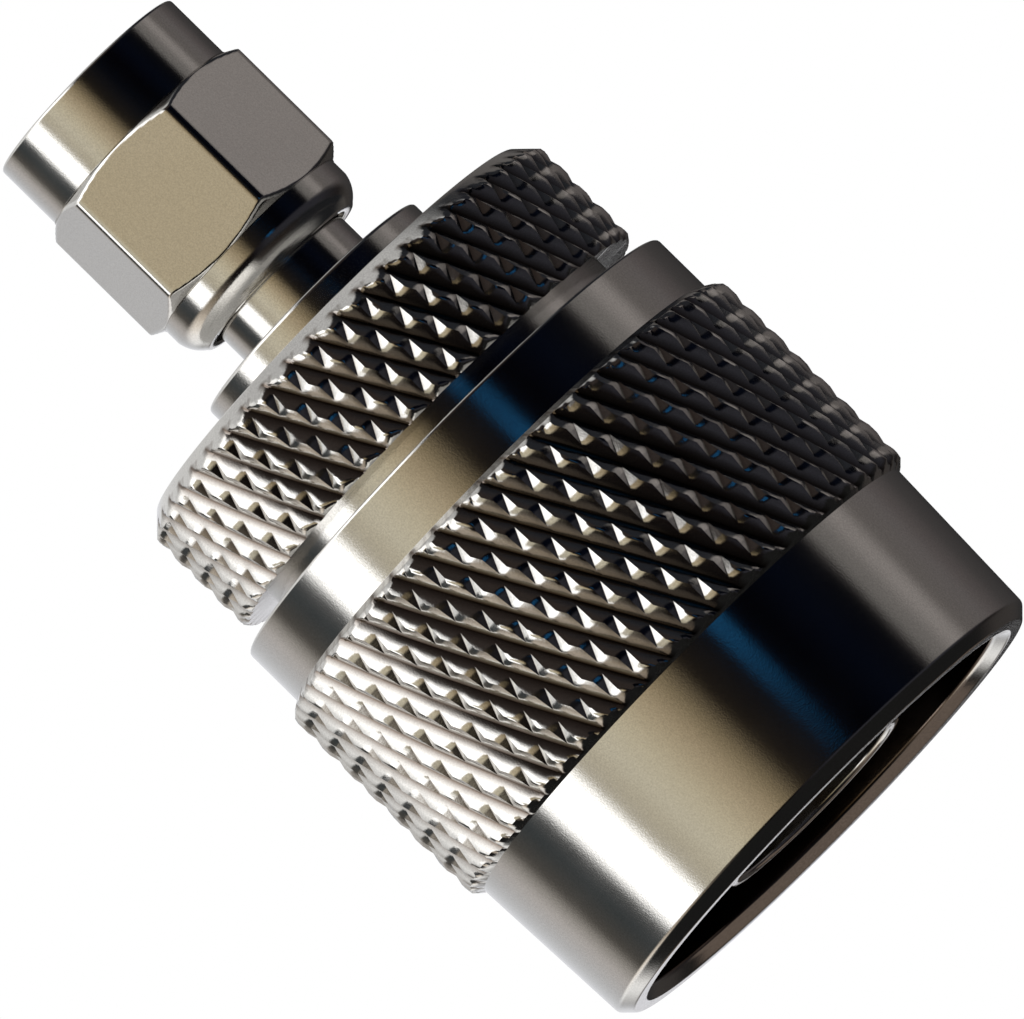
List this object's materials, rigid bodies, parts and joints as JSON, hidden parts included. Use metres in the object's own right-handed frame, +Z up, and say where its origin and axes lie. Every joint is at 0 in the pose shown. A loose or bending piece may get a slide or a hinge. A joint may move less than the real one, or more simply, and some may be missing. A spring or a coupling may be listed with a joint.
{
  "type": "coaxial adapter",
  "caption": "Straight coaxial adapter with a knurled threaded nut at one end and a small hexagonal threaded nut at the other, around gold-plated centre pins.",
  "frame": {"origin": "centre of the larger coupling nut's open rim, which the adapter stands on", "axes": "+Z up the common axis, from the larger plug to the smaller one; X and Y across it"},
  "size_m": [0.0206, 0.0206, 0.0351],
  "materials": {
    "nut_nickel": "nickel-plated brass, satin",
    "body_nickel": "nickel-plated brass, satin",
    "contact_nickel": "nickel-plated brass, smooth",
    "gold": "gold-plated",
    "ptfe": "turned, waxy",
    "silicone": "matt",
    "spring_bronze": "bright"
  },
  "bodies": {
    "adapter": {"main_body": "body_nickel", "sma_body": "body_nickel", "n_outer_contact": "contact_nickel", "n_centre_pin": "gold", "n_insulator": "ptfe", "n_gasket": "silicone", "sma_centre_pin": "gold", "sma_insulator": "ptfe", "sma_gasket": "silicone"},
    "n_ring": {"n_retaining_ring": "spring_bronze"},
    "n_nut": {"n_coupling_nut": "nut_nickel"},
    "sma_ring": {"sma_retaining_ring": "spring_bronze"},
    "sma_nut": {"sma_coupling_nut": "nut_nickel"}
  },
  "joints": [
    {"name": "n_nut_float", "type": "slide", "parent": "adapter", "child": "n_ring", "axis": [0, 0, 1], "range_m": [-0.0005, 0]},
    {"name": "n_nut_spin", "type": "hinge", "parent": "n_ring", "child": "n_nut", "pos_m": [0, 0, 0.01563], "axis": [0, 0, 1], "continuous": true},
    {"name": "sma_nut_float", "type": "slide", "parent": "adapter", "child": "sma_ring", "axis": [0, 0, 1], "range_m": [0, 0.0003]},
    {"name": "sma_nut_spin", "type": "hinge", "parent": "sma_ring", "child": "sma_nut", "pos_m": [0, 0, 0.02792], "axis": [0, 0, 1], "continuous": true}
  ]
}
